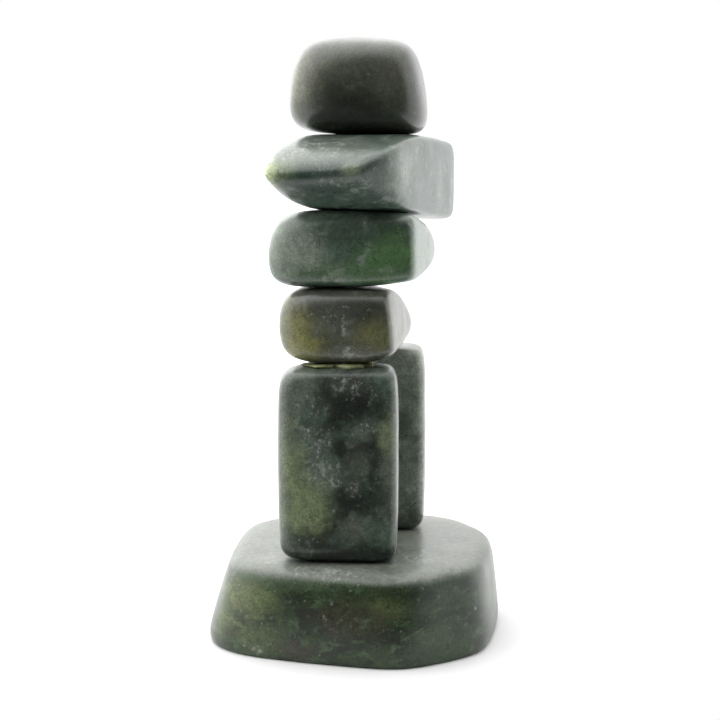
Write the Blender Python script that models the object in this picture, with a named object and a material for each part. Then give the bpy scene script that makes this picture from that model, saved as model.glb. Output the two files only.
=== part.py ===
"""A small inukshuk of polished nephrite, 76 mm tall: seven stones stacked on one another and glued.

Metres, +Z up. The origin is on the table, under the middle of the figure's bounding box.
The two legs and the arms lie along X. The figure faces -Y, so its own right is the -X end.

Every stone is a block ground flat on some sides and then tumbled, which swells the faces a
little and rounds the edges between them.
"""

from math import radians

import bmesh
import bpy
import numpy as np
from mathutils import Vector

MM = 0.001

# Heights above the table of the level faces where one stone rests on the next, in mm. The
# gaps between them hold the glue.
BASE_TOP = 11.65
LEG_FOOT = 11.95
RIGHT_LEG_TOP = 35.3
LEFT_LEG_TOP = 35.7
HIPS_BOTTOM = 36.15
HIPS_TOP = 45.2
BELLY_BOTTOM = 45.5

# Middle of each stone, in mm. A leg's height and the hips' follow from their level faces.
BASE_MIDDLE = (-0.7, -0.4, 6.0)
RIGHT_LEG_MIDDLE = (-9.8, 0.05)
LEFT_LEG_MIDDLE = (7.6, -1.65)
HIPS_MIDDLE = (-1.7, -0.05)
BELLY_MIDDLE = (-1.7, -0.15, 50.0)
ARMS_MIDDLE = (-1.5, -0.95, 58.9)
HEAD_MIDDLE = (-1.7, -0.75, 69.9)

# Ground faces. Bearing and tilt turn a face's outward normal, in degrees: a bearing of 0 points
# along +X and of 90 along +Y, and a tilt of 90 points up. The third number is the distance from
# the stone's middle to the face, in mm.
BASE_SIDES = {
    "right end": (172, 4, 17.5),
    "left end": (0, 8, 19.2),
    "back": (96, 19, 16.5),
    "front": (269, 7, 17.9),
    "front right corner": (222, 5, 19.5),
    "front left corner": (305, 7, 19.8),
    "back right corner": (137, 9, 19.7),
    "back left corner": (45, 14, 19.5),
}
HIPS_SIDES = {
    "right end": (180, 0, 11.6),
    "left end": (0, 15, 11.5),
    "back": (91, 0, 8.4),
    "front": (269, 6, 6.4),
}
BELLY_SIDES = {
    "right end": (179, 0, 11.0),
    "left end": (359, 3, 11.5),
    "back": (89, 0, 9.7),
    "front": (268, 1, 9.65),
    "upper back edge": (115, 50, 10.6),
}
ARMS_SIDES = {
    "right end": (176, -2, 17.4),
    "right end above": (172, 57, 10.6),
    "right end below": (184, -56, 9.7),
    "right end front corner": (218, 5, 14.6),
    "front": (262, 0, 8.7),
    "back": (82, 8, 8.2),
    "back above": (95, 50, 9.1),
    "back below": (97, -47, 7.9),
    "top at the right end": (172, 80, 6.3),
}
ARMS_LEFT_END = {"left end": (-8, 0, 18.2)}
HEAD_SIDES = {
    "right end": (180, 0, 7.0),
    "left end": (0, 0, 7.0),
    "back": (91, 9, 8.4),
    "front": (271, 10, 8.3),
    "crown": (270, 88, 6.1),
}

# The belly's top and the arms' underside face each other on one slope, and so do the arms' top
# and the head's underside. Each slope has a bearing and a tilt, and each face a distance.
ARMS_SEAT = (-18, 84.4)
BELLY_TOP, ARMS_UNDERSIDE = 4.05, 4.6
HEAD_SEAT = (-8, 86.5)
ARMS_TOP, HEAD_UNDERSIDE = 5.1, 5.6

# The legs are slabs turned a little about Z, with reaches to the back and the front in mm.
LEG_TURN = 7
LEG_HALF_THICKNESS = 4.3
RIGHT_LEG_REACHES = (7.8, 7.2)
LEFT_LEG_REACHES = (7.3, 6.8)

# How far the rounding of an edge reaches, in mm
CRISP, FIRM, WORN, ROUND, COBBLE = 0.6, 0.8, 1.1, 1.4, 1.7
# How much a face swells towards its middle, in 1/mm
FLAT, STRAIGHT, DOMED, SWOLLEN = 0.0, 0.001, 0.0012, 0.003

GLUE_SIZE = (6.4, 10.4)
GLUE_MIDDLE = (-10.0, -0.6)
GLUE_GAP = 0.2
GLUE_CORNER = 1.8
GLUE_CORNER_STEPS = 5

# Steps along each side of a stone's grid
COARSE_GRID, FINE_GRID = 8, 10
NEWTON_STEPS = 25
HIGHEST_POWER = 50
SMOOTH_ANGLE = 40
BELOW_TABLE = 0.5

STONE_ROUGHNESS = 0.28
BASE_GREEN = (0.13, 0.16, 0.12)
RIGHT_LEG_GREEN = (0.055, 0.075, 0.062)
LEFT_LEG_GREEN = (0.115, 0.14, 0.115)
HIPS_OLIVE = (0.12, 0.13, 0.075)
BELLY_GREEN = (0.085, 0.125, 0.08)
ARMS_GREEN = (0.17, 0.20, 0.155)
HEAD_OLIVE = (0.045, 0.052, 0.036)
GLUE_YELLOW = (0.52, 0.54, 0.33)
GLUE_ROUGHNESS = 0.35


def clear_scene():
    """Removes the start-up scene's objects."""
    for thing in list(bpy.data.objects):
        bpy.data.objects.remove(thing, do_unlink=True)


def material(name, colour, roughness):
    """A plain non-metal material of this colour and roughness."""
    made = bpy.data.materials.new(name)
    made.use_nodes = True
    shader = made.node_tree.nodes["Principled BSDF"]
    shader.inputs["Base Color"].default_value = (*colour, 1.0)
    shader.inputs["Roughness"].default_value = roughness
    shader.inputs["Metallic"].default_value = 0.0
    return made


def ground(sides, softness, swell):
    """One row for each of these ground faces: bearing, tilt, distance, softness, swell."""
    return [(*side, softness, swell) for side in sides.values()]


def seat(slope, distance, softness, swell=FLAT):
    """The row of a face that another stone rests on. Its slope is a bearing and a tilt."""
    return [(*slope, distance, softness, swell)]


def facing(slope):
    """The slope of the face that rests on a face with this slope."""
    bearing, tilt = slope
    return bearing + 180, -tilt


def level(half_height, softness):
    """The rows of a level top and underside this far from the stone's middle."""
    return seat((0, 90), half_height, softness) + seat((0, -90), half_height, softness)


def normals_of(bearings, tilts):
    """Unit vectors with these bearings and tilts, in degrees."""
    bearing, tilt = np.radians(bearings), np.radians(tilts)
    return np.stack(
        [np.cos(tilt) * np.cos(bearing), np.cos(tilt) * np.sin(bearing), np.sin(tilt)], axis=1
    )


def worn_radius(directions, faces):
    """Distance from the middle to the tumbled surface in each direction, in mm.

    At radius r along a direction with cosine c to a face's normal, the surface stands over that
    face by h = c r + swell (1 - c c) r r - distance. The surface is where the sum of
    exp(h / softness) over all the faces is 1. Newton's method finds it from the nearest flat
    face outwards.
    """
    faces = np.array(faces, float)
    distance, softness, swell = faces[:, 2], faces[:, 3], faces[:, 4]
    cosine = directions @ normals_of(faces[:, 0], faces[:, 1]).T
    bend = swell * (1 - cosine**2)
    with np.errstate(divide="ignore"):
        radius = np.where(cosine > 0, distance / cosine, np.inf).min(axis=1, keepdims=True)
    for _ in range(NEWTON_STEPS):
        height = cosine * radius + bend * radius**2 - distance
        weight = np.exp(np.minimum(height / softness, HIGHEST_POWER))
        slope = (weight * (cosine + 2 * bend * radius) / softness).sum(axis=1, keepdims=True)
        radius = radius - (weight.sum(axis=1, keepdims=True) - 1) / slope
    return radius


def block_mesh(block, grid):
    """A cube with a grid on each side, and the unit direction to each of its points.

    The grid of the block is closer together towards its edges, where the stone bends most.
    """
    mesh = bmesh.new()
    bmesh.ops.create_cube(mesh, size=2)
    bmesh.ops.subdivide_edges(mesh, edges=mesh.edges[:], cuts=grid - 1, use_grid_fill=True)
    corners = np.array([point.co for point in mesh.verts])
    reach = np.sin(corners * np.pi / 2) * np.array(block)
    return mesh, reach / np.linalg.norm(reach, axis=1, keepdims=True)


def cut_underside(mesh):
    """Cuts the mesh off at the table and closes it with one flat face."""
    everything = mesh.verts[:] + mesh.edges[:] + mesh.faces[:]
    cut = bmesh.ops.bisect_plane(
        mesh, geom=everything, plane_co=(0, 0, 0), plane_no=(0, 0, -1), clear_outer=True
    )
    rim = [edge for edge in cut["geom_cut"] if isinstance(edge, bmesh.types.BMEdge)]
    bmesh.ops.contextual_create(mesh, geom=rim)


def place(name, mesh, colour, roughness):
    """Makes the object of this name from the mesh, smooth but for its sharp edges."""
    bmesh.ops.recalc_face_normals(mesh, faces=mesh.faces[:])
    data = bpy.data.meshes.new(name)
    mesh.to_mesh(data)
    mesh.free()
    data.shade_smooth()
    data.set_sharp_from_angle(angle=radians(SMOOTH_ANGLE))
    data.materials.append(material(name, colour, roughness))
    thing = bpy.data.objects.new(name, data)
    bpy.context.scene.collection.objects.link(thing)


def stone_mesh(middle, block, faces, grid=COARSE_GRID):
    """The mesh of one stone with its middle here, in mm.

    Block is the stone's rough length, depth and height, which only spreads the grid.
    """
    mesh, directions = block_mesh(block, grid)
    points = directions * worn_radius(directions, faces) + np.array(middle)
    for point, place_in_mm in zip(mesh.verts, points):
        point.co = Vector(place_in_mm) * MM
    return mesh


def base():
    """The slab, wider at its foot, with a chamfer on each upright corner."""
    faces = ground(BASE_SIDES, FIRM, SWOLLEN)
    faces += seat((0, 90), BASE_TOP - BASE_MIDDLE[2], CRISP, DOMED)
    faces += seat((0, -90), BASE_MIDDLE[2] + BELOW_TABLE, CRISP)
    mesh = stone_mesh(BASE_MIDDLE, (38, 38, 12), faces, FINE_GRID)
    cut_underside(mesh)
    place("base", mesh, BASE_GREEN, STONE_ROUGHNESS)


def leg(name, middle, top, reaches, colour):
    """An upright slab from the base to this height."""
    back, front = reaches
    half_height = (top - LEG_FOOT) / 2
    sides = {
        "right": (180 + LEG_TURN, 0, LEG_HALF_THICKNESS),
        "left": (LEG_TURN, 0, LEG_HALF_THICKNESS),
        "back": (90 + LEG_TURN, 0, back),
        "front": (270 + LEG_TURN, 0, front),
    }
    faces = ground(sides, FIRM, STRAIGHT) + level(half_height, FIRM)
    block = (2 * LEG_HALF_THICKNESS, back + front, 2 * half_height)
    mesh = stone_mesh((*middle, LEG_FOOT + half_height), block, faces)
    place(name, mesh, colour, STONE_ROUGHNESS)


def leg_glue():
    """The pad of dried glue between the right leg and the hips."""
    low, high = RIGHT_LEG_TOP + GLUE_GAP, HIPS_BOTTOM - GLUE_GAP
    mesh = bmesh.new()
    bmesh.ops.create_cube(mesh, size=1)
    bmesh.ops.scale(mesh, verts=mesh.verts[:], vec=(*GLUE_SIZE, high - low))
    upright = [edge for edge in mesh.edges if edge.verts[0].co.z * edge.verts[1].co.z < 0]
    bmesh.ops.bevel(
        mesh,
        geom=upright,
        offset=GLUE_CORNER,
        segments=GLUE_CORNER_STEPS,
        profile=0.5,
        affect="EDGES",
    )
    bmesh.ops.translate(mesh, verts=mesh.verts[:], vec=(*GLUE_MIDDLE, (low + high) / 2))
    bmesh.ops.scale(mesh, verts=mesh.verts[:], vec=(MM, MM, MM))
    place("leg_glue", mesh, GLUE_YELLOW, GLUE_ROUGHNESS)


def hips():
    """The narrow pebble across both legs."""
    half_height = (HIPS_TOP - HIPS_BOTTOM) / 2
    faces = ground(HIPS_SIDES, ROUND, SWOLLEN) + level(half_height, ROUND)
    mesh = stone_mesh((*HIPS_MIDDLE, HIPS_BOTTOM + half_height), (23, 15, 9), faces)
    place("hips", mesh, HIPS_OLIVE, STONE_ROUGHNESS)


def belly():
    """The wider pebble above the hips, whose top slopes down towards the left end."""
    faces = ground(BELLY_SIDES, WORN, SWOLLEN)
    faces += seat(ARMS_SEAT, BELLY_TOP, WORN)
    faces += seat((0, -90), BELLY_MIDDLE[2] - BELLY_BOTTOM, WORN)
    mesh = stone_mesh(BELLY_MIDDLE, (22, 19, 9), faces)
    place("belly", mesh, BELLY_GREEN, STONE_ROUGHNESS)


def arms():
    """The long stone across the top, keeled along its back and square along its front."""
    faces = ground(ARMS_SIDES, CRISP, STRAIGHT) + ground(ARMS_LEFT_END, WORN, STRAIGHT)
    faces += seat(HEAD_SEAT, ARMS_TOP, CRISP)
    faces += seat(facing(ARMS_SEAT), ARMS_UNDERSIDE, CRISP)
    mesh = stone_mesh(ARMS_MIDDLE, (36, 17, 9), faces, FINE_GRID)
    place("arms", mesh, ARMS_GREEN, STONE_ROUGHNESS)


def head():
    """The thick pebble on top, narrower at its crown."""
    faces = ground(HEAD_SIDES, COBBLE, SWOLLEN)
    faces += seat(facing(HEAD_SEAT), HEAD_UNDERSIDE, COBBLE)
    mesh = stone_mesh(HEAD_MIDDLE, (13.5, 16.5, 11.5), faces)
    place("head", mesh, HEAD_OLIVE, STONE_ROUGHNESS)


def main():
    clear_scene()
    base()
    leg("right_leg", RIGHT_LEG_MIDDLE, RIGHT_LEG_TOP, RIGHT_LEG_REACHES, RIGHT_LEG_GREEN)
    leg("left_leg", LEFT_LEG_MIDDLE, LEFT_LEG_TOP, LEFT_LEG_REACHES, LEFT_LEG_GREEN)
    leg_glue()
    hips()
    belly()
    arms()
    head()


main()
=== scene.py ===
"""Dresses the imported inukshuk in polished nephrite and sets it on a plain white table.

Laid out as a Blender add-on and run as a script. Metres, +Z up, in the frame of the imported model: the
figure stands at the origin and faces -Y, so its own right, the end that the camera sees, is at -X.
"""

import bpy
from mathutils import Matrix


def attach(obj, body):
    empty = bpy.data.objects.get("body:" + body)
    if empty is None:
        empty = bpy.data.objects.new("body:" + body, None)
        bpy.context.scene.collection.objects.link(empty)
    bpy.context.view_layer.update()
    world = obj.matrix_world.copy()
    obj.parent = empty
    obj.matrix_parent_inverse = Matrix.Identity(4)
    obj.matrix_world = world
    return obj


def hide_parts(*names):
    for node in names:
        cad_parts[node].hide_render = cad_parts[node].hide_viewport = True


bl_info = {
    "name": "Nephrite Inukshuk",
    "version": (1, 0, 0),
    "blender": (4, 5, 0),
    "location": "View3D > Sidebar > Inukshuk",
    "description": "Builds the stones, the glue and the stage of a small polished inukshuk",
    "category": "Object",
}

import bpy
import numpy as np
from bpy.props import FloatProperty, FloatVectorProperty, IntProperty, PointerProperty
from mathutils import Vector

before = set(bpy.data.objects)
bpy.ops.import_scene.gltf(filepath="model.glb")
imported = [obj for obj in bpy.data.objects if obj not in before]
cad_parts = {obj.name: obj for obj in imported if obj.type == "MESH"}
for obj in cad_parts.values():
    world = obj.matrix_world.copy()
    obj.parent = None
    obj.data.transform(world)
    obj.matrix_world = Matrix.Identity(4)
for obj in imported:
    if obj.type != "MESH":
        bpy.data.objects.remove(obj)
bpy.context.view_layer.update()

MM = 0.001

# Middle of each stone in mm, as in the solids
BASE_MIDDLE = (-0.7, -0.4, 6.0)
HIPS_MIDDLE = (-1.7, -0.05, 40.675)
BELLY_MIDDLE = (-1.7, -0.15, 50.0)
ARMS_MIDDLE = (-1.5, -0.95, 58.9)
HEAD_MIDDLE = (-1.7, -0.75, 69.9)
RIGHT_LEG_MIDDLE = (-9.8, 0.05, 23.625)
LEFT_LEG_MIDDLE = (7.6, -1.65, 23.825)
GLUE_MIDDLE = (-9.75, 0.4)

# Heights above the table in mm
LEG_FOOT = 11.55
RIGHT_LEG_TOP = 35.85
LEFT_LEG_TOP = 36.15
GLUE_BOTTOM, GLUE_TOP = 35.68, 36.12
HIPS_TOP = 45.35

# What the camera looks at, in mm, and where the lamp stands, as seen from the figure
TARGET = (-1.6, -1.06, 35.3)
LAMP = (0.25, 0.60, 0.76)

# Ground faces. Bearing and tilt turn a face's outward normal, in degrees: a bearing of 0 points along
# +X and of 90 along +Y, and a tilt of 90 points up. The third number is the distance from the stone's
# middle to the face, in mm.
BASE_SIDES = {
    "right end": (172, 4, 17.5),
    "left end": (0, 8, 19.2),
    "back": (96, 19, 16.5),
    "front": (269, 7, 17.9),
    "front right corner": (222, 5, 19.5),
    "front left corner": (305, 7, 19.8),
    "back right corner": (137, 9, 19.7),
    "back left corner": (45, 14, 19.5),
}
RIGHT_LEG_SIDES = {
    "right": (187, 0, 4.3),
    "left": (7, 0, 4.3),
    "back": (97, 0, 7.8),
    "front": (277, 0, 7.2),
}
LEFT_LEG_SIDES = {
    "right": (187, 0, 4.3),
    "left": (7, 0, 4.3),
    "back": (97, 0, 7.3),
    "front": (277, 0, 6.8),
}
HIPS_SIDES = {
    "right end": (180, 0, 11.6),
    "left end": (0, 15, 11.5),
    "back": (91, 0, 8.4),
    "front": (269, 6, 7.0),
}
BELLY_SIDES = {
    "right end": (179, 0, 11.0),
    "left end": (359, 3, 11.5),
    "back": (89, 0, 9.7),
    "front": (268, 1, 9.65),
    "upper back edge": (115, 50, 10.6),
}
ARMS_SIDES = {
    "right end": (176, -2, 17.4),
    "right end above": (172, 57, 10.6),
    "right end below": (184, -56, 9.7),
    "right end front corner": (225, -18, 13.4),
    "front": (262, 0, 8.7),
    "back": (82, 8, 8.2),
    "back above": (95, 50, 9.1),
    "back below": (97, -47, 7.9),
    "top at the right end": (172, 80, 6.3),
}
ARMS_LEFT_END = {"left end": (-8, 0, 18.2)}
HIPS_TAPER = {"front left above": (304, 53, 6.0), "front left below": (279, -54, 6.6)}
BELLY_TAPER = {"front left above": (290, 53, 8.3), "front left below": (287, -76, 6.0)}
HEAD_SIDES = {
    "right end": (180, 0, 7.0),
    "left end": (0, 0, 7.0),
    "back": (91, 9, 8.52),
    "front": (271, 10, 8.42),
    "crown": (270, 88, 6.28),
}

# Bearing and tilt of the slopes where the arms rest on the belly and the head on the arms
UP, DOWN = (0, 90), (0, -90)
ARMS_SEAT = (-18, 84.4)
HEAD_SEAT = (-8, 86.5)

# How far the rounding of an edge reaches, in mm, from the sharpest to the softest
SHARP, CRISP, FIRM, WORN, ROUND, COBBLE, PEBBLE, BLUNT = 0.25, 0.6, 0.8, 1.1, 1.4, 1.7, 2.1, 2.6
# How much a face swells towards its middle, in 1/mm
FLAT, STRAIGHT, DOMED, SWOLLEN, ARCHED = 0.0, 0.001, 0.0012, 0.003, 0.009

# Softness and swell of the hips' and the belly's faces that differ from the rest of the stone
HIPS_AND_BELLY_OWN = {"front": (SHARP, STRAIGHT), "right end": (FIRM, ARCHED), "left end": (BLUNT, SWOLLEN)}

NEWTON_STEPS = 25
HIGHEST_POWER = 50
WAVE_COUNT = 12
GLUE_STEPS_AROUND, GLUE_STEPS_UP = 200, 24


def colour(name, description, default):
    """A colour property with this default, in linear light."""
    return FloatVectorProperty(
        name=name, description=description, default=default, subtype="COLOR", size=3, min=0, max=4
    )


def length(name, description, default):
    """A length property with this default, in metres."""
    return FloatProperty(
        name=name, description=description, default=default, unit="LENGTH", precision=5, min=-1, max=10
    )


def share(name, description, default):
    """A factor from 0 to 1 with this default."""
    return FloatProperty(
        name=name, description=description, default=default, subtype="FACTOR", min=0, max=1
    )


def amount(name, description, default):
    """A plain number with this default."""
    return FloatProperty(name=name, description=description, default=default, min=0, max=50)


class StoneSettings(bpy.types.PropertyGroup):
    """What all the stones share."""

    steps: IntProperty(
        name="Grid steps",
        description="Steps along each side of a stone's grid",
        default=84,
        min=8,
        max=128,
    )
    overlap: length("Seat overlap", "How far two stones reach into each other's seat", 0.00006)
    ripple_size: length("Ripple size", "Distance between the soft swells left by hand polishing", 0.0055)
    ripple_depth: length("Ripple depth", "Height of those swells", 0.00002)
    roughness: share("Roughness", "Roughness of the polished stone", 0.30)
    coat: share("Wax", "Strength of the waxed sheen over the stone", 0.20)
    cloud_size: length("Cloud size", "Size of the large clouds in the stone", 0.0058)
    vein_size: length("Vein size", "Size of the paler veins", 0.0021)
    mottle_size: length("Mottle size", "Size of the fine clouds", 0.0008)
    grain_size: length("Grain size", "Size of the stone's grain", 0.00024)
    mottle: amount("Mottle", "Contrast of the fine clouds", 1.7)
    grain: amount("Grain", "Contrast of the stone's grain", 1.8)
    # The haze colour is partly fine scratches and partly painted top light on the faces that look up.
    haze_and_top_light: colour("Haze", "Colour of the fine scratches on the faces that look up", (0.155, 0.170, 0.145))
    speck: colour("Speck", "Colour of the white mineral specks", (0.38, 0.40, 0.36))
    pepper: colour("Pepper", "Colour of the black mineral specks", (0.006, 0.007, 0.006))


class BaseSettings(bpy.types.PropertyGroup):
    """Colours of the slab."""

    deep: colour("Deep", "Its darkest clouds", (0.010, 0.018, 0.009))
    body: colour("Body", "Its main green", (0.023, 0.044, 0.018))
    pale: colour("Pale", "Its lightest clouds", (0.058, 0.086, 0.045))
    glow: colour("Glow", "Yellow green patches where light comes through", (0.160, 0.190, 0.075))
    brown: colour("Brown", "Rusty clouds", (0.040, 0.036, 0.022))


class RightLegSettings(bpy.types.PropertyGroup):
    """Colours of the right leg."""

    deep: colour("Deep", "Its darkest clouds", (0.016, 0.020, 0.016))
    body: colour("Body", "Its main green", (0.064, 0.096, 0.072))
    # Pale also paints a highlight along the back edge of the face that the camera sees.
    pale: colour("Pale", "Its lightest clouds", (0.110, 0.125, 0.100))
    glow: colour("Glow", "Yellow green patches", (0.215, 0.260, 0.140))


class LeftLegSettings(bpy.types.PropertyGroup):
    """Colours of the left leg."""

    deep: colour("Deep", "Its darkest clouds", (0.060, 0.074, 0.056))
    body: colour("Body", "Its main green", (0.150, 0.185, 0.142))
    pale: colour("Pale", "Its lightest clouds", (0.225, 0.255, 0.205))


class HipsSettings(bpy.types.PropertyGroup):
    """Colours of the hip stone."""

    deep: colour("Deep", "Its darkest clouds", (0.032, 0.037, 0.028))
    body: colour("Body", "Its main olive", (0.078, 0.086, 0.058))
    pale: colour("Pale", "Its lightest clouds", (0.140, 0.148, 0.108))
    glow: colour("Glow", "Olive yellow patches", (0.200, 0.200, 0.070))


class BellySettings(bpy.types.PropertyGroup):
    """Colours of the belly stone."""

    deep: colour("Deep", "Its darkest clouds", (0.038, 0.062, 0.044))
    body: colour("Body", "Its main green", (0.086, 0.134, 0.096))
    # Pale is also painted light towards the back edge of the right end, together with the whitish cloud.
    pale: colour("Pale", "Its whitish cloud", (0.220, 0.250, 0.195))
    glow: colour("Glow", "Its clear green patch", (0.082, 0.172, 0.056))


class ArmsSettings(bpy.types.PropertyGroup):
    """Colours of the arm stone."""

    # Deep also paints the head's shadow on the top strip, and pale paints light on the front corner of the
    # right end.
    deep: colour("Deep", "Its darkest clouds", (0.020, 0.040, 0.030))
    body: colour("Body", "Its main green", (0.046, 0.074, 0.058))
    pale: colour("Pale", "Its lightest clouds", (0.190, 0.215, 0.185))
    glow: colour("Glow", "Yellow green where light comes through", (0.460, 0.550, 0.260))


class HeadSettings(bpy.types.PropertyGroup):
    """Colours of the head stone."""

    # Besides the clouds, deep paints shade at the bottom of the right end, pale paints light at its top and
    # front edge, and glow paints light near its back edge.
    deep: colour("Deep", "Its darkest clouds", (0.018, 0.020, 0.016))
    body: colour("Body", "Its main olive black", (0.029, 0.036, 0.024))
    pale: colour("Pale", "Its lightest clouds", (0.085, 0.092, 0.068))
    glow: colour("Glow", "Olive patches near its edges", (0.165, 0.175, 0.115))


class GlueSettings(bpy.types.PropertyGroup):
    """The dried glue between the right leg and the hips."""

    depth: length("Depth", "Size of the bead along X", 0.0058)
    width: length("Width", "Size of the bead along Y", 0.0080)
    squeeze: share("Squeeze", "How unevenly the bead has been squeezed out", 0.18)
    yellow: colour("Yellow", "Colour of the dried glue", (0.130, 0.138, 0.056))
    pale: colour("Pale", "Colour of its cloudy lumps", (0.260, 0.290, 0.150))


class StageSettings(bpy.types.PropertyGroup):
    """Floor, light and camera."""

    bearing: amount("Camera bearing", "Degrees from the right end round towards the front", 9.0)
    elevation: amount("Camera height", "Degrees that the camera looks down", 8.0)
    distance: length("Camera distance", "From the camera to the middle of the figure", 0.218)
    backdrop: amount("Backdrop", "Brightness of the backdrop behind and beside the figure", 1.5)
    lamp: amount("Lamp", "Brightness of the soft lamp above the figure's back and left end", 2.8)
    room: amount("Room", "Brightness of the room on the camera's side", 0.05)
    white: colour("White", "Colour of the table", (0.80, 0.80, 0.80))
    shade: colour("Shade", "Colour of the faint clouds on the table", (0.76, 0.76, 0.76))


class FigureSettings(bpy.types.PropertyGroup):
    """All the settings of the inukshuk."""

    stone: PointerProperty(type=StoneSettings)
    base: PointerProperty(type=BaseSettings)
    right_leg: PointerProperty(type=RightLegSettings)
    left_leg: PointerProperty(type=LeftLegSettings)
    hips: PointerProperty(type=HipsSettings)
    belly: PointerProperty(type=BellySettings)
    arms: PointerProperty(type=ArmsSettings)
    head: PointerProperty(type=HeadSettings)
    glue: PointerProperty(type=GlueSettings)
    stage: PointerProperty(type=StageSettings)


# Shapes

def block_grid(steps):
    """Points of six grids that close round a cube from -1 to 1, and their four-cornered faces.

    Each side is a grid of two parameters from -1 to 1. Points on the borders of two or three sides are
    counted once, so the seams are closed. Faces point outwards.
    """
    line = 2 * np.arange(steps + 1) - steps
    first, second = np.meshgrid(line, line, indexing="ij")
    number = np.arange((steps + 1) ** 2).reshape(steps + 1, steps + 1)
    corners = [number[:-1, :-1], number[1:, :-1], number[1:, 1:], number[:-1, 1:]]
    quads = np.stack([corner.ravel() for corner in corners], axis=1)
    points, faces = [], []
    for axis in range(3):
        for side in (-1, 1):
            grid = np.empty((number.size, 3), int)
            grid[:, axis] = side * steps
            grid[:, (axis + 1) % 3] = first.ravel()
            grid[:, (axis + 2) % 3] = second.ravel()
            faces.append((quads if side > 0 else quads[:, ::-1]) + number.size * len(points))
            points.append(grid)
    unique, index = np.unique(np.concatenate(points), axis=0, return_inverse=True)
    return unique / steps, index.reshape(-1)[np.concatenate(faces)]


def ground(sides, softness, swell, but=None):
    """One row for each of these ground faces: bearing, tilt, distance, softness, swell.

    The faces named in but have a softness and a swell of their own.
    """
    own = but or {}
    return [(*side, *own.get(name, (softness, swell))) for name, side in sides.items()]


def seat(slope, distance, softness, swell=FLAT):
    """The row of a face that another stone rests on. Its slope is a bearing and a tilt."""
    return [(*slope, distance, softness, swell)]


def seat_overlap(context):
    """How far a stone reaches into the next one's seat, in mm."""
    return context.scene.inukshuk.stone.overlap / MM


def facing(slope):
    """The slope of the face that rests on a face with this slope."""
    bearing, tilt = slope
    return bearing + 180, -tilt


def ripple(points, size, depth, seed):
    """Soft unevenness at each point: cosine waves of this size in seeded directions, added up."""
    random = np.random.default_rng(seed)
    ways = random.normal(size=(WAVE_COUNT, 3))
    ways /= np.linalg.norm(ways, axis=1, keepdims=True)
    waves = np.cos(points @ ways.T * (2 * np.pi / size) + random.uniform(0, 2 * np.pi, WAVE_COUNT))
    return depth * waves.sum(axis=1) / np.sqrt(WAVE_COUNT)


def tumbled(directions, faces):
    """The tumbled surface in each direction: its distances from the middle in mm, normals and edges.

    At radius r along a direction with cosine c to a face's normal, the surface stands over that face by
    h = c r + swell (1 - c c) r r - distance. The surface is where the sum of exp(h / softness) over all
    the faces is 1, found by Newton's method. Its normal is the gradient of that sum. The edges are 0 in
    the middle of a face and 1 where two faces meet.
    """
    faces = np.array(faces, float)
    bearing, tilt, (distance, softness, swell) = *np.radians(faces[:, :2].T), faces[:, 2:].T
    level = np.cos(tilt)
    normals = np.stack([level * np.cos(bearing), level * np.sin(bearing), np.sin(tilt)], axis=1)
    cosine = directions @ normals.T
    bend = swell * (1 - cosine**2)
    with np.errstate(divide="ignore"):
        radius = np.where(cosine > 0, distance / cosine, np.inf).min(axis=1, keepdims=True)
    for _ in range(NEWTON_STEPS):
        height = cosine * radius + bend * radius**2 - distance
        weight = np.exp(np.minimum(height / softness, HIGHEST_POWER))
        slope = (weight * (cosine + 2 * bend * radius) / softness).sum(axis=1, keepdims=True)
        radius = radius - (weight.sum(axis=1, keepdims=True) - 1) / slope
    pull = weight / softness
    along = (pull * (1 - 2 * swell * cosine * radius)) @ normals
    across = (2 * pull * swell).sum(axis=1, keepdims=True) * radius * directions
    gradient = along + across
    normals_there = gradient / np.linalg.norm(gradient, axis=1, keepdims=True)
    return radius, normals_there, 2 - 2 * (weight / weight.sum(axis=1, keepdims=True)).max(axis=1)


def new_piece(name, points, faces, material):
    """A smooth mesh object with its place in its mesh, riding with the figure."""
    mesh = bpy.data.meshes.new(name)
    mesh.from_pydata(points, [], faces)
    mesh.shade_smooth()
    mesh.materials.append(material)
    piece = bpy.data.objects.new(name, mesh)
    bpy.context.scene.collection.objects.link(piece)
    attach(piece, "root")
    return piece


def stone_piece(node, middle, block, faces, material, seed, lowest=None):
    """A fine stone in place of the CAD node of this name. Middle and block are in mm.

    The surface is tumbled() over the two parameters of block_grid(), spread a little towards the block's
    edges, plus ripple() along its normals. Nothing reaches below lowest, where the stone is cut flat.
    """
    settings = bpy.context.scene.inukshuk.stone
    cube, quads = block_grid(settings.steps)
    reach = (cube + np.sin(cube * np.pi / 2)) / 2 * np.array(block)
    directions = reach / np.linalg.norm(reach, axis=1, keepdims=True)
    radius, normals, edges = tumbled(directions, faces)
    points = np.array(middle) + directions * radius
    waves = ripple(points, settings.ripple_size / MM, settings.ripple_depth / MM, seed)
    points += normals * waves[:, None]
    if lowest is not None:
        points[:, 2] = np.maximum(points[:, 2], lowest)
    piece = new_piece(node + "_stone", points * MM, quads.tolist(), material)
    for name, values in (("upward", normals[:, 2]), ("edge", edges)):
        piece.data.attributes.new(name, "FLOAT", "POINT").data.foreach_set("value", values)
    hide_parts(node)


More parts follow.
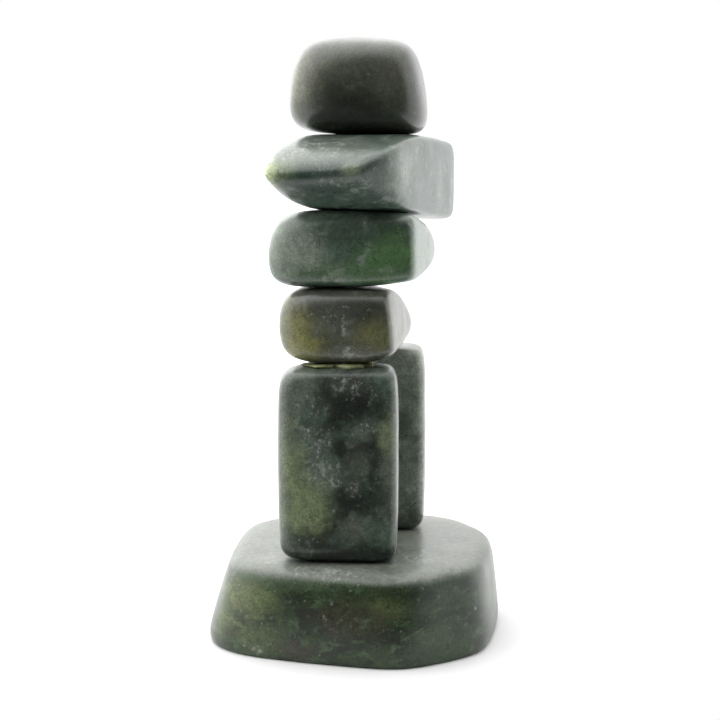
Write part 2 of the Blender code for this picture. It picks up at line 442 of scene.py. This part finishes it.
def bead(depth, width, squeeze, seed):
    """Points and faces of the squeezed bead of glue, in mm.

    The plan is a rounded rectangle, the superellipse of power 4 of the angle round it. It reaches out
    unevenly by seeded cosine waves of that angle, and has a notch at the right end, where the angle is pi.
    From the bottom's middle to the top's, the section runs out flat, round a bulging side and back in
    flat. Its height follows the waves and grows towards the front with the sine of the angle.
    """
    random = np.random.default_rng(seed)
    around = GLUE_STEPS_AROUND
    angle = np.linspace(0, 2 * np.pi, around, endpoint=False)
    rounding = (np.abs(np.cos(angle)) ** 4 + np.abs(np.sin(angle)) ** 4) ** -0.25
    orders = np.arange(3, 17)
    waves = np.cos(np.outer(angle, orders) + random.uniform(0, 2 * np.pi, orders.size))
    swing = squeeze * (waves / np.sqrt(orders)).sum(axis=1) / 2
    notch = 0.4 * np.exp(-(((angle - np.pi) / 0.12) ** 2))
    uneven = 1 + swing - notch
    section = np.linspace(-np.pi / 2, np.pi / 2, GLUE_STEPS_UP)
    out = np.concatenate([[0.0, 0.6], 0.86 + 0.14 * np.cos(section), [0.6, 0.0]])
    rise = np.concatenate([[-1, -1], np.sin(section), [1, 1]])
    reach = np.outer(out, rounding * uneven)
    height = np.outer(rise, 1.15 + swing / 2 - 0.6 * np.sin(angle)) * (GLUE_TOP - GLUE_BOTTOM) / 2
    points = np.stack(
        [
            GLUE_MIDDLE[0] + reach * np.cos(angle) * depth / 2,
            GLUE_MIDDLE[1] + reach * np.sin(angle) * width / 2,
            (GLUE_BOTTOM + GLUE_TOP) / 2 + height,
        ],
        axis=2,
    )
    rows = out.size
    number = 1 + np.arange((rows - 2) * around).reshape(rows - 2, around)
    after = np.roll(number, -1, axis=1)
    side = np.stack([number[:-1], after[:-1], after[1:], number[1:]], axis=2).reshape(-1, 4)
    last = 1 + number.size
    foot = np.stack([after[0], number[0], np.zeros(around, int), np.zeros(around, int)], axis=1)
    top = np.stack([number[-1], after[-1], np.full(around, last), np.full(around, last)], axis=1)
    flat = np.concatenate([points[:1, 0], points[1:-1].reshape(-1, 3), points[-1:, 0]])
    triangles = np.concatenate([foot, top])[:, :3]
    return flat, side.tolist() + triangles.tolist()


# Shader helpers

class Value:
    """A number or a point over the surface. Python's operators on it add the matching Math nodes."""

    def __init__(self, shader, socket):
        self.shader, self.socket = shader, socket

    def math(self, operation, *operands):
        """A Math node of these operands."""
        sockets = {number: operand for number, operand in enumerate(operands)}
        return self.shader.node("ShaderNodeMath", {"operation": operation}, sockets)["Value"]

    def __add__(self, other):
        return self.math("ADD", self, other)

    def __sub__(self, other):
        return self.math("SUBTRACT", self, other)

    def __rsub__(self, other):
        return self.math("SUBTRACT", other, self)

    def __mul__(self, other):
        return self.math("MULTIPLY", self, other)

    def __lt__(self, other):
        return self.math("LESS_THAN", self, other)

    __radd__ = __add__
    __rmul__ = __mul__

    def most(self, other):
        """The larger of this and the other."""
        return self.math("MAXIMUM", self, other)


class Shader:
    """The nodes of one material or world."""

    def __init__(self, owner):
        owner.use_nodes = True
        self.tree = owner.node_tree
        self.tree.nodes.clear()

    def node(self, kind, settings, sockets):
        """Adds a node with these settings and socket values, and gives its outputs by name."""
        made = self.tree.nodes.new(kind)
        for name, value in settings.items():
            setattr(made, name, value)
        for name, value in sockets.items():
            if isinstance(value, Value):
                self.tree.links.new(value.socket, made.inputs[name])
            else:
                made.inputs[name].default_value = value
        return {socket.name: Value(self, socket) for socket in made.outputs if socket.enabled}

    def vector(self, operation, first, second):
        """A Vector Math node of two points, or of a point and three numbers."""
        sockets = {0: first, 1: second}
        return self.node("ShaderNodeVectorMath", {"operation": operation}, sockets)["Vector"]

    def dot(self, first, second):
        """The dot product of two points."""
        sockets = {0: first, 1: second}
        return self.node("ShaderNodeVectorMath", {"operation": "DOT_PRODUCT"}, sockets)["Value"]

    def noise(self, place, size, detail=3.0, roughness=0.5, distortion=0.0):
        """Smooth noise of this feature size in metres, from 0 to 1."""
        sockets = {"Vector": place, "Scale": 1 / size, "Detail": detail, "Roughness": roughness}
        sockets["Distortion"] = distortion
        return self.node("ShaderNodeTexNoise", {}, sockets)["Fac"]

    def step(self, value, low, high):
        """Rises smoothly from 0 at low to 1 at high, or falls where low is the larger."""
        sockets = {"Value": value, "From Min": low, "From Max": high}
        return self.node("ShaderNodeMapRange", {"interpolation_type": "SMOOTHSTEP"}, sockets)["Result"]

    def blend(self, mask, first, second):
        """Colour that goes from first to second with the mask."""
        sockets = {0: mask, 6: first, 7: second}
        return self.node("ShaderNodeMix", {"data_type": "RGBA"}, sockets)["Result"]

    def scaled(self, tint, factor):
        """A colour times a number."""
        sockets = {"Vector": tint, "Scale": factor}
        return self.node("ShaderNodeVectorMath", {"operation": "SCALE"}, sockets)["Vector"]

    def patch(self, place, middle, reach, wander):
        """A mask that is 1 at this middle and fades out at these reaches, both in mm."""
        away = self.vector("SUBTRACT", place, [MM * value for value in middle])
        away = self.vector("DIVIDE", away, [MM * value for value in reach])
        distance = self.node("ShaderNodeVectorMath", {"operation": "LENGTH"}, {0: away})["Value"]
        return self.step(distance + wander, 1.35, 0.25)

    def specks(self, place, size, radius, share_of_cells):
        """A mask of small dots: one in a share of the cells of this size, in metres."""
        settings = {"feature": "F1", "voronoi_dimensions": "3D"}
        sockets = {"Vector": place, "Scale": 1 / size, "Randomness": 1.0}
        cells = self.node("ShaderNodeTexVoronoi", settings, sockets)
        lot = self.node("ShaderNodeSeparateColor", {}, {"Color": cells["Color"]})["Red"]
        dot = self.step(cells["Distance"], radius, radius * 0.55)
        return dot * (lot < share_of_cells)


def opaque(tint):
    """The four values that a colour socket takes."""
    return (*tint, 1)


def jade(name, looks, patches, flecks=(), specks=0.05, bands=1.0, haze_and_top_light=1.0, shine=0.5):
    """Polished nephrite: clouds and veins of a stone's greens, mottle, grain and specks.

    Patches are rows of colour, middle, reach and strength. Flecks are rows of middle, reach and strength
    where white flecks crowd. Places are in mm. Specks is the share of cells that hold a white speck, and
    bands above 1 flatten the clouds along Z. Haze is how strongly fine scratches and painted top light veil
    the faces that look up, and shine how strongly the surface reflects. Edges are a little paler, a painted
    highlight.
    """
    stone = bpy.context.scene.inukshuk.stone
    material = bpy.data.materials.new(name)
    shader = Shader(material)
    place = shader.node("ShaderNodeTexCoord", {}, {})["Object"]
    upward = shader.node("ShaderNodeAttribute", {"attribute_name": "upward"}, {})["Fac"]
    edge = shader.node("ShaderNodeAttribute", {"attribute_name": "edge"}, {})["Fac"]
    banded = shader.vector("MULTIPLY", place, (1.0, 1.0, bands))
    elsewhere = shader.vector("ADD", banded, (0.013, 0.007, 0.021))
    cloud = shader.noise(banded, stone.cloud_size, 4.0, 0.6, 0.6)
    drift = shader.noise(elsewhere, stone.vein_size, 4.0, 0.6, 0.4)
    mottle = shader.noise(place, stone.mottle_size, 4.0, 0.65, 0.5)
    grain = shader.noise(place, stone.grain_size, 2.0, 0.7)
    wander = (drift - 0.5) * 2.2 + (mottle - 0.5) * 1.0

    base = shader.blend(shader.step(cloud, 0.38, 0.58), opaque(looks.deep), opaque(looks.body))
    veins = shader.step(drift, 0.53, 0.70) * 0.7
    base = shader.blend(veins, base, opaque(looks.pale))
    for tint, middle, reach, strength in patches:
        base = shader.blend(shader.patch(place, middle, reach, wander) * strength, base, opaque(tint))
    # Mottle and grain, and a painted highlight: edges are a little paler.
    mottle_grain_and_edge_highlight = 1 + (mottle - 0.5) * stone.mottle + (grain - 0.5) * stone.grain + edge * 0.12
    mottle_grain_and_edge_highlight = mottle_grain_and_edge_highlight.most(0.7)
    base = shader.scaled(base, mottle_grain_and_edge_highlight)

    # Painted top light, partly fine scratches: the faces that look up are veiled in the haze colour.
    scratch_and_top_light_amount = 0.75 + (cloud - 0.5) * 1.2 + (drift - 0.5) * 1.2 + (mottle - 0.5) * 0.8
    scratches_and_top_light = shader.step(upward, 0.30, 1.0) * scratch_and_top_light_amount * haze_and_top_light
    scratch_and_top_light_colour = shader.scaled(tuple(stone.haze_and_top_light), 0.5 + mottle_grain_and_edge_highlight * 0.5)
    base = shader.blend(scratches_and_top_light, base, scratch_and_top_light_colour)

    ragged = shader.noise(place, 0.0006, 4.0, 0.7)
    cluster = shader.noise(place, 0.0015, 2.0, 0.5)
    white = shader.specks(place, 0.0012, 0.13, specks) * 0.4
    for middle, reach, strength in flecks:
        crowd = shader.patch(place, middle, reach, wander * 0.7) * strength
        white = white.most(shader.step(ragged + crowd * 0.20 + (cluster - 0.5) * 0.35, 0.60, 0.90))
        white = white.most(crowd * 0.12)
    base = shader.blend(white * 0.8, base, opaque(stone.speck))
    base = shader.blend(shader.specks(place, 0.0014, 0.10, 0.03) * 0.4, base, opaque(stone.pepper))

    worn = stone.roughness + (drift - 0.5) * 0.16 + (grain - 0.5) * 0.06 + scratches_and_top_light * 0.10
    bump = mottle * 0.7 + grain * 0.5 + white * 0.4
    normal = shader.node(
        "ShaderNodeBump", {}, {"Strength": 0.30, "Distance": 0.00003, "Height": bump}
    )["Normal"]
    lit = shader.node(
        "ShaderNodeBsdfPrincipled",
        {},
        {
            "Base Color": base,
            "Roughness": worn.most(0.12),
            "Normal": normal,
            "IOR": 1.6,
            "Specular IOR Level": shine,
            "Subsurface Weight": 0.15,
            "Subsurface Radius": (0.9, 1.0, 0.5),
            "Subsurface Scale": 0.0012,
            "Coat Weight": stone.coat,
            "Coat Roughness": 0.18,
            "Coat IOR": 1.45,
        },
    )["BSDF"]
    shader.node("ShaderNodeOutputMaterial", {}, {"Surface": lit})
    return material


def dried_glue(looks):
    """Cloudy yellowed glue with lumps, half see-through at its thin places."""
    material = bpy.data.materials.new("dried_glue")
    shader = Shader(material)
    place = shader.node("ShaderNodeTexCoord", {}, {})["Object"]
    lumps = shader.noise(place, 0.0012, 3.0, 0.6, 0.8)
    grain = shader.noise(place, 0.00025, 3.0, 0.6)
    base = shader.blend(shader.step(lumps, 0.35, 0.65), opaque(looks.yellow), opaque(looks.pale))
    bump = shader.node(
        "ShaderNodeBump", {}, {"Strength": 0.6, "Distance": 0.00006, "Height": lumps + grain * 0.4}
    )["Normal"]
    lit = shader.node(
        "ShaderNodeBsdfPrincipled",
        {},
        {
            "Base Color": base,
            "Roughness": 0.28 + grain * 0.2,
            "Normal": bump,
            "IOR": 1.48,
            "Subsurface Weight": 0.5,
            "Subsurface Radius": (1.0, 1.0, 0.4),
            "Subsurface Scale": 0.001,
        },
    )["BSDF"]
    shader.node("ShaderNodeOutputMaterial", {}, {"Surface": lit})
    return material


# Operators

class INUKSHUK_OT_base(bpy.types.Operator):
    """Build the slab that carries the figure"""

    bl_idname = "inukshuk.base"
    bl_label = "Build Base"

    def execute(self, context):
        looks = context.scene.inukshuk.base
        patches = [
            (looks.glow, (-17, 11.0, 7.6), (5, 4.6, 3.0), 0.5),
            (looks.glow, (-17, 9.6, 2.4), (5, 4, 2.4), 0.2),
            (looks.pale, (-17.5, 3.0, 10.0), (5, 14, 1.0), 0.7),
            (looks.glow, (-15.0, 15.0, 6.0), (4, 2.6, 5.0), 0.45),
            (looks.glow, (-17.4, -6.6, 8.0), (5, 3.0, 2.0), 0.35),
            (looks.brown, (-18.6, -2.6, 6.2), (5, 6, 3.0), 0.7),
            (looks.brown, (-18.0, 4.0, 1.6), (5, 4, 1.6), 0.6),
            (looks.pale, (-16.4, -12.6, 2.8), (5, 4, 2.4), 0.45),
            (looks.pale, (-15.5, -9.5, 7.2), (4, 5, 1.4), 0.45),
            (looks.deep, (-18.0, 4.0, 11.0), (5, 14, 0.45), 0.4),
            (looks.deep, (-17.5, -8.0, 9.4), (5, 8, 1.2), 0.6),
            (looks.body, (-14.5, 4.0, 11.6), (2.2, 5.0, 1.5), 0.5),
        ]
        flecks = [
            ((-16.2, 0.5, 11.5), (2.2, 7.5, 1.5), 1.0),
            ((-12.0, 8.6, 11.6), (4, 4, 1.5), 0.7),
            ((-8.5, -9.0, 11.6), (4, 3, 1.5), 1.0),
            ((-17.0, 9.5, 1.0), (1.2, 1.2, 0.8), 1.0),
        ]
        material = jade(
            "base_jade", looks, patches, flecks, specks=0.02, bands=1.8, haze_and_top_light=1.2, shine=0.25
        )
        faces = ground(BASE_SIDES, WORN, SWOLLEN)
        faces += seat(UP, 5.65, CRISP, DOMED) + seat(DOWN, 6.5, CRISP)
        stone_piece("base", BASE_MIDDLE, (38, 38, 12), faces, material, 11, lowest=0)
        return {"FINISHED"}


class INUKSHUK_OT_right_leg(bpy.types.Operator):
    """Build the right leg stone"""

    bl_idname = "inukshuk.right_leg"
    bl_label = "Build Right Leg"

    def execute(self, context):
        looks = context.scene.inukshuk.right_leg
        patches = [
            # Painted highlight: a pale band along the back edge of the face that the camera sees.
            (looks.pale, (-14.6, 7.2, 24.0), (3, 2.2, 14.0), 0.9),
            (looks.pale, (-13.9, 4.8, 33.6), (3, 2.8, 2.6), 0.7),
            (looks.pale, (-13.0, -6.6, 24.8), (3, 1.6, 9.0), 0.7),
            (looks.pale, (-13.8, -2.2, 16.2), (3, 2.2, 1.8), 0.7),
            (looks.pale, (-14.0, -2.8, 24.4), (3, 2.0, 2.2), 0.45),
            (looks.glow, (-14.4, 3.8, 18.6), (3, 3.8, 3.8), 0.75),
            (looks.glow, (-14.6, 5.2, 24.2), (3, 1.8, 4.4), 0.6),
            (looks.glow, (-13.2, -6.2, 27.8), (3, 1.4, 2.6), 0.5),
            (looks.deep, (-13.7, -2.6, 31.4), (4, 3.8, 3.4), 1.0),
            (looks.deep, (-13.7, -1.5, 12.6), (4, 8.0, 1.8), 0.9),
            (looks.deep, (-13.6, -2.8, 19.6), (4, 3.6, 2.8), 0.8),
        ]
        flecks = [
            ((-14.4, 2.4, 27.2), (2.5, 2.8, 2.2), 0.9),
            ((-14.3, 1.6, 23.0), (2.5, 3.0, 2.6), 0.9),
            ((-13.6, -3.6, 28.6), (2.5, 2.0, 1.6), 0.9),
            ((-13.9, -2.1, 21.3), (2.5, 1.2, 1.2), 0.9),
            ((-13.6, -1.4, 33.8), (2.5, 3.0, 1.3), 0.9),
            ((-14.4, 2.8, 31.6), (2.5, 2.2, 2.2), 0.6),
        ]
        over = seat_overlap(context)
        material = jade("right_leg_jade", looks, patches, flecks, specks=0.10, haze_and_top_light=0.4, shine=0.35)
        own = {"back": (ROUND, STRAIGHT), "front": (CRISP, STRAIGHT)}
        faces = ground(RIGHT_LEG_SIDES, FIRM, STRAIGHT, own)
        faces += seat(UP, RIGHT_LEG_TOP - RIGHT_LEG_MIDDLE[2], WORN)
        faces += seat(DOWN, RIGHT_LEG_MIDDLE[2] - LEG_FOOT + over, FIRM)
        stone_piece("right_leg", RIGHT_LEG_MIDDLE, (8.6, 15, 24), faces, material, 23)
        return {"FINISHED"}


class INUKSHUK_OT_left_leg(bpy.types.Operator):
    """Build the left leg stone"""

    bl_idname = "inukshuk.left_leg"
    bl_label = "Build Left Leg"

    def execute(self, context):
        looks = context.scene.inukshuk.left_leg
        patches = [
            (looks.deep, (4.0, -8.0, 12.0), (9, 9, 3.0), 1.0),
            (looks.pale, (4.0, -8.0, 35.2), (9, 9, 3.8), 1.0),
        ]
        material = jade("left_leg_jade", looks, patches, specks=0.03)
        over = seat_overlap(context)
        faces = ground(LEFT_LEG_SIDES, FIRM, STRAIGHT)
        faces += seat(UP, LEFT_LEG_TOP - LEFT_LEG_MIDDLE[2] + over, FIRM)
        faces += seat(DOWN, LEFT_LEG_MIDDLE[2] - LEG_FOOT + over, FIRM)
        stone_piece("left_leg", LEFT_LEG_MIDDLE, (8.6, 14, 24), faces, material, 37)
        return {"FINISHED"}


class INUKSHUK_OT_glue(bpy.types.Operator):
    """Build the bead of dried glue between the right leg and the hips"""

    bl_idname = "inukshuk.glue"
    bl_label = "Build Glue"

    def execute(self, context):
        looks = context.scene.inukshuk.glue
        points, faces = bead(looks.depth / MM, looks.width / MM, looks.squeeze, 5)
        piece = new_piece("leg_glue_bead", points * MM, faces, dried_glue(looks))
        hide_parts("leg_glue")
        return {"FINISHED"}


class INUKSHUK_OT_hips(bpy.types.Operator):
    """Build the hip stone"""

    bl_idname = "inukshuk.hips"
    bl_label = "Build Hips"

    def execute(self, context):
        looks = context.scene.inukshuk.hips
        patches = [
            (looks.pale, (-12.5, 7.0, 42.0), (4, 2.0, 4.5), 0.6),
            (looks.glow, (-12.9, 5.0, 40.4), (4, 2.8, 4.2), 0.75),
            (looks.glow, (-12.9, 4.4, 38.0), (4, 3.0, 2.2), 0.8),
            (looks.glow, (-11.9, -4.4, 40.0), (4, 2.4, 2.6), 0.45),
            (looks.deep, (-13.0, -0.8, 43.6), (4, 6.0, 2.6), 0.9),
        ]
        flecks = [
            ((-13.1, -1.1, 40.3), (1.5, 0.9, 0.8), 1.0),
            ((-12.7, -1.4, 37.8), (2.5, 3.0, 0.9), 1.0),
            ((-13.0, 0.2, 42.0), (2.5, 3.0, 2.4), 0.6),
        ]
        material = jade("hips_jade", looks, patches, flecks, specks=0.08, haze_and_top_light=0.3)
        over = seat_overlap(context)
        faces = ground(HIPS_SIDES, COBBLE, SWOLLEN, HIPS_AND_BELLY_OWN) + ground(HIPS_TAPER, FIRM, SWOLLEN)
        faces += seat(UP, HIPS_TOP - HIPS_MIDDLE[2] + over, COBBLE) + seat(DOWN, 4.72, COBBLE)
        stone_piece("hips", HIPS_MIDDLE, (23, 15, 9), faces, material, 41)
        return {"FINISHED"}


class INUKSHUK_OT_belly(bpy.types.Operator):
    """Build the belly stone"""

    bl_idname = "inukshuk.belly"
    bl_label = "Build Belly"

    def execute(self, context):
        looks = context.scene.inukshuk.belly
        patches = [
            # Painted light, over the whitish cloud: the two pale patches towards the back edge of the right
            # end.
            (looks.pale, (-12.5, 7.6, 50.4), (4, 3.4, 4.0), 0.55),
            (looks.pale, (-12.5, 4.4, 50.0), (4, 3.2, 2.4), 0.8),
            (looks.glow, (-12.6, -5.9, 49.4), (4, 3.8, 3.4), 0.7),
            (looks.glow, (-12.5, -0.5, 47.4), (4, 6.5, 1.8), 0.35),
            (looks.deep, (-12.7, -1.4, 52.4), (4, 4.6, 2.4), 0.6),
        ]
        flecks = [((-12.5, 4.2, 50.0), (2.5, 3.0, 3.0), 0.6)]
        material = jade("belly_jade", looks, patches, flecks, specks=0.05, haze_and_top_light=0.4)
        over = seat_overlap(context)
        faces = ground(BELLY_SIDES, ROUND, SWOLLEN, HIPS_AND_BELLY_OWN) + ground(BELLY_TAPER, FIRM, SWOLLEN)
        faces += seat(ARMS_SEAT, 4.18 + over, ROUND) + seat(DOWN, 4.65 + over, ROUND)
        stone_piece("belly", BELLY_MIDDLE, (22, 19, 9), faces, material, 53)
        return {"FINISHED"}


class INUKSHUK_OT_arms(bpy.types.Operator):
    """Build the arm stone"""

    bl_idname = "inukshuk.arms"
    bl_label = "Build Arms"

    def execute(self, context):
        looks = context.scene.inukshuk.arms
        patches = [
            (looks.glow, (-17.0, 8.8, 59.5), (5, 4.2, 2.6), 1.0),
            (looks.pale, (-17.6, -3.2, 60.4), (3, 1.8, 1.4), 0.5),
            (looks.glow, (-17.8, -2.4, 60.0), (3, 1.2, 1.0), 0.25),
            (looks.pale, (-15.2, 3.0, 61.2), (3, 6.0, 1.2), 0.7),
            # Painted shadow of the head: the deep patch on the top strip just under it.
            (looks.deep, (-12.2, 1.5, 63.2), (4, 6.0, 0.9), 0.3),
            (looks.deep, (-17.4, 2.5, 58.2), (4, 7.0, 2.6), 0.85),
            (looks.deep, (-16.8, -5.4, 60.4), (3, 1.6, 2.2), 0.6),
            # Painted light: the pale patch on the front corner of the right end.
            (looks.pale, (-13.6, -8.8, 60.0), (4.5, 2.2, 6.0), 0.9),
        ]
        flecks = [
            ((-12.4, 2.0, 63.0), (2.8, 5.6, 1.6), 1.0),
            ((-14.9, 5.4, 61.9), (2.4, 2.4, 1.6), 1.0),
            ((-15.2, 0.2, 62.1), (2.0, 1.8, 1.2), 0.9),
            ((-17.8, -1.2, 58.9), (2.0, 3.4, 1.4), 0.7),
        ]
        material = jade("arms_jade", looks, patches, flecks, specks=0.08, haze_and_top_light=0.35, shine=0.4)
        over = seat_overlap(context)
        own = dict.fromkeys(("back", "back above", "back below"), (FIRM, STRAIGHT))
        faces = ground(ARMS_SIDES, CRISP, STRAIGHT, own) + ground(ARMS_LEFT_END, WORN, STRAIGHT)
        faces += seat(HEAD_SEAT, 5.1 + over, CRISP) + seat(facing(ARMS_SEAT), 4.72 + over, CRISP)
        stone_piece("arms", ARMS_MIDDLE, (36, 17, 9), faces, material, 67)
        return {"FINISHED"}


class INUKSHUK_OT_head(bpy.types.Operator):
    """Build the head stone"""

    bl_idname = "inukshuk.head"
    bl_label = "Build Head"

    def execute(self, context):
        looks = context.scene.inukshuk.head
        # On the right end, which the camera sees: painted top light in the pale band at the top, painted
        # light near the back edge in the glow patch and near the front edge in the second pale patch, and
        # painted shade in the deep patch at the bottom, just above the arms.
        patches = [
            (looks.pale, (-8.3, 1.5, 73.0), (4, 7.0, 3.0), 0.7),
            (looks.glow, (-7.9, 6.4, 70.6), (4, 4.4, 4.6), 0.7),
            (looks.pale, (-7.4, -5.6, 70.8), (4, 3.4, 5.0), 0.8),
            (looks.deep, (-8.3, -1.0, 66.3), (4, 6.5, 3.0), 0.9),
        ]
        material = jade("head_jade", looks, patches, specks=0.04, haze_and_top_light=0.35)
        over = seat_overlap(context)
        own = {"right end": (PEBBLE, ARCHED), "front": (WORN, SWOLLEN), "crown": (COBBLE, SWOLLEN)}
        faces = ground(HEAD_SIDES, PEBBLE, SWOLLEN, own)
        faces += seat(facing(HEAD_SEAT), 6.05 + over, COBBLE)
        stone_piece("head", HEAD_MIDDLE, (13.5, 16.5, 11.5), faces, material, 79)
        return {"FINISHED"}


class INUKSHUK_OT_stage(bpy.types.Operator):
    """Build the table, the light and the camera"""

    bl_idname = "inukshuk.stage"
    bl_label = "Build Stage"

    def execute(self, context):
        settings = context.scene.inukshuk.stage
        bearing, elevation = np.radians([180 + settings.bearing, settings.elevation])
        to_camera = Vector(
            (np.cos(elevation) * np.cos(bearing), np.cos(elevation) * np.sin(bearing), np.sin(elevation))
        )
        self.add_camera(context, Vector(TARGET) * MM, to_camera * settings.distance)
        self.add_table(context, settings)
        self.add_light(context, settings, to_camera)
        context.scene.view_settings.view_transform = "Standard"
        return {"FINISHED"}

    def add_camera(self, context, target, away):
        """A long lens at this offset from the target, looking at it."""
        lens = bpy.data.cameras.new("camera")
        lens.lens = 85
        lens.sensor_width = 36
        lens.clip_start = 0.01
        camera = bpy.data.objects.new("camera", lens)
        camera.location = target + away
        camera.rotation_euler = (-away).to_track_quat("-Z", "Y").to_euler()
        context.scene.collection.objects.link(camera)
        context.scene.camera = camera

    def add_table(self, context, settings):
        """A flat sheet under the figure that ends a little way in front of it, square to the camera."""
        front, far = 0.036, 6.0
        mesh = bpy.data.meshes.new("table")
        turn = np.radians(settings.bearing)
        along = np.array([np.cos(turn), np.sin(turn), 0])
        across = np.array([-np.sin(turn), np.cos(turn), 0])
        corners = [-front * along - far * across, far * along - far * across]
        corners += [far * along + far * across, -front * along + far * across]
        mesh.from_pydata(corners, [], [(0, 1, 2, 3)])
        material = bpy.data.materials.new("white_table")
        shader = Shader(material)
        place = shader.node("ShaderNodeTexCoord", {}, {})["Object"]
        fine = shader.noise(place, 0.004, 3.0)
        base = shader.blend(fine * 0.06, opaque(settings.white), opaque(settings.shade))
        lit = shader.node("ShaderNodeBsdfPrincipled", {}, {"Base Color": base, "Roughness": 0.7})["BSDF"]
        shader.node("ShaderNodeOutputMaterial", {}, {"Surface": lit})
        mesh.materials.append(material)
        table = bpy.data.objects.new("table", mesh)
        context.scene.collection.objects.link(table)

    def add_light(self, context, settings, to_camera):
        """A white tent: bright behind and beside, brightest at the lamp, dim on the camera's side.

        What the camera sees of it directly is plain white.
        """
        world = bpy.data.worlds.new("tent")
        context.scene.world = world
        shader = Shader(world)
        way = shader.node("ShaderNodeTexCoord", {}, {})["Generated"]
        level = Vector((to_camera.x, to_camera.y, 0)).normalized()
        towards = shader.dot(way, level)
        beside = shader.dot(way, Vector(LAMP).normalized())
        dimming = settings.backdrop - settings.room
        around = settings.backdrop - shader.step(towards, 0.30, 0.82) * dimming
        tent = around + shader.step(beside, 0.25, 0.9) * (settings.lamp - around)
        seen = shader.node("ShaderNodeLightPath", {}, {})["Is Camera Ray"]
        strength = tent + seen * (1.0 - tent)
        white = {"Color": (1, 1, 1, 1), "Strength": strength}
        light = shader.node("ShaderNodeBackground", {}, white)["Background"]
        shader.node("ShaderNodeOutputWorld", {}, {"Surface": light})


class INUKSHUK_PT_panel(bpy.types.Panel):
    """Lists the pieces and their settings"""

    bl_idname = "INUKSHUK_PT_panel"
    bl_label = "Nephrite Inukshuk"
    bl_space_type = "VIEW_3D"
    bl_region_type = "UI"
    bl_category = "Inukshuk"

    def draw(self, context):
        figure = context.scene.inukshuk
        self.group("Stone", figure.stone)
        for operator, settings in zip(PIECES, SETTINGS_IN_ORDER):
            self.layout.operator(operator.bl_idname)
            self.group(operator.bl_label, getattr(figure, settings))

    def group(self, title, settings):
        box = self.layout.box()
        box.label(text=title)
        for name in settings.__annotations__:
            box.prop(settings, name)


PIECES = (
    INUKSHUK_OT_base,
    INUKSHUK_OT_right_leg,
    INUKSHUK_OT_left_leg,
    INUKSHUK_OT_glue,
    INUKSHUK_OT_hips,
    INUKSHUK_OT_belly,
    INUKSHUK_OT_arms,
    INUKSHUK_OT_head,
    INUKSHUK_OT_stage,
)
SETTINGS_IN_ORDER = ("base", "right_leg", "left_leg", "glue", "hips", "belly", "arms", "head", "stage")
CLASSES = (
    StoneSettings,
    BaseSettings,
    RightLegSettings,
    LeftLegSettings,
    HipsSettings,
    BellySettings,
    ArmsSettings,
    HeadSettings,
    GlueSettings,
    StageSettings,
    FigureSettings,
    *PIECES,
    INUKSHUK_PT_panel,
)


def register():
    for made in CLASSES:
        bpy.utils.register_class(made)
    bpy.types.Scene.inukshuk = PointerProperty(type=FigureSettings)


def unregister():
    del bpy.types.Scene.inukshuk
    for made in reversed(CLASSES):
        bpy.utils.unregister_class(made)


def main():
    register()
    bpy.ops.inukshuk.base()
    bpy.ops.inukshuk.right_leg()
    bpy.ops.inukshuk.left_leg()
    bpy.ops.inukshuk.glue()
    bpy.ops.inukshuk.hips()
    bpy.ops.inukshuk.belly()
    bpy.ops.inukshuk.arms()
    bpy.ops.inukshuk.head()
    bpy.ops.inukshuk.stage()


if __name__ == "__main__":
    main()
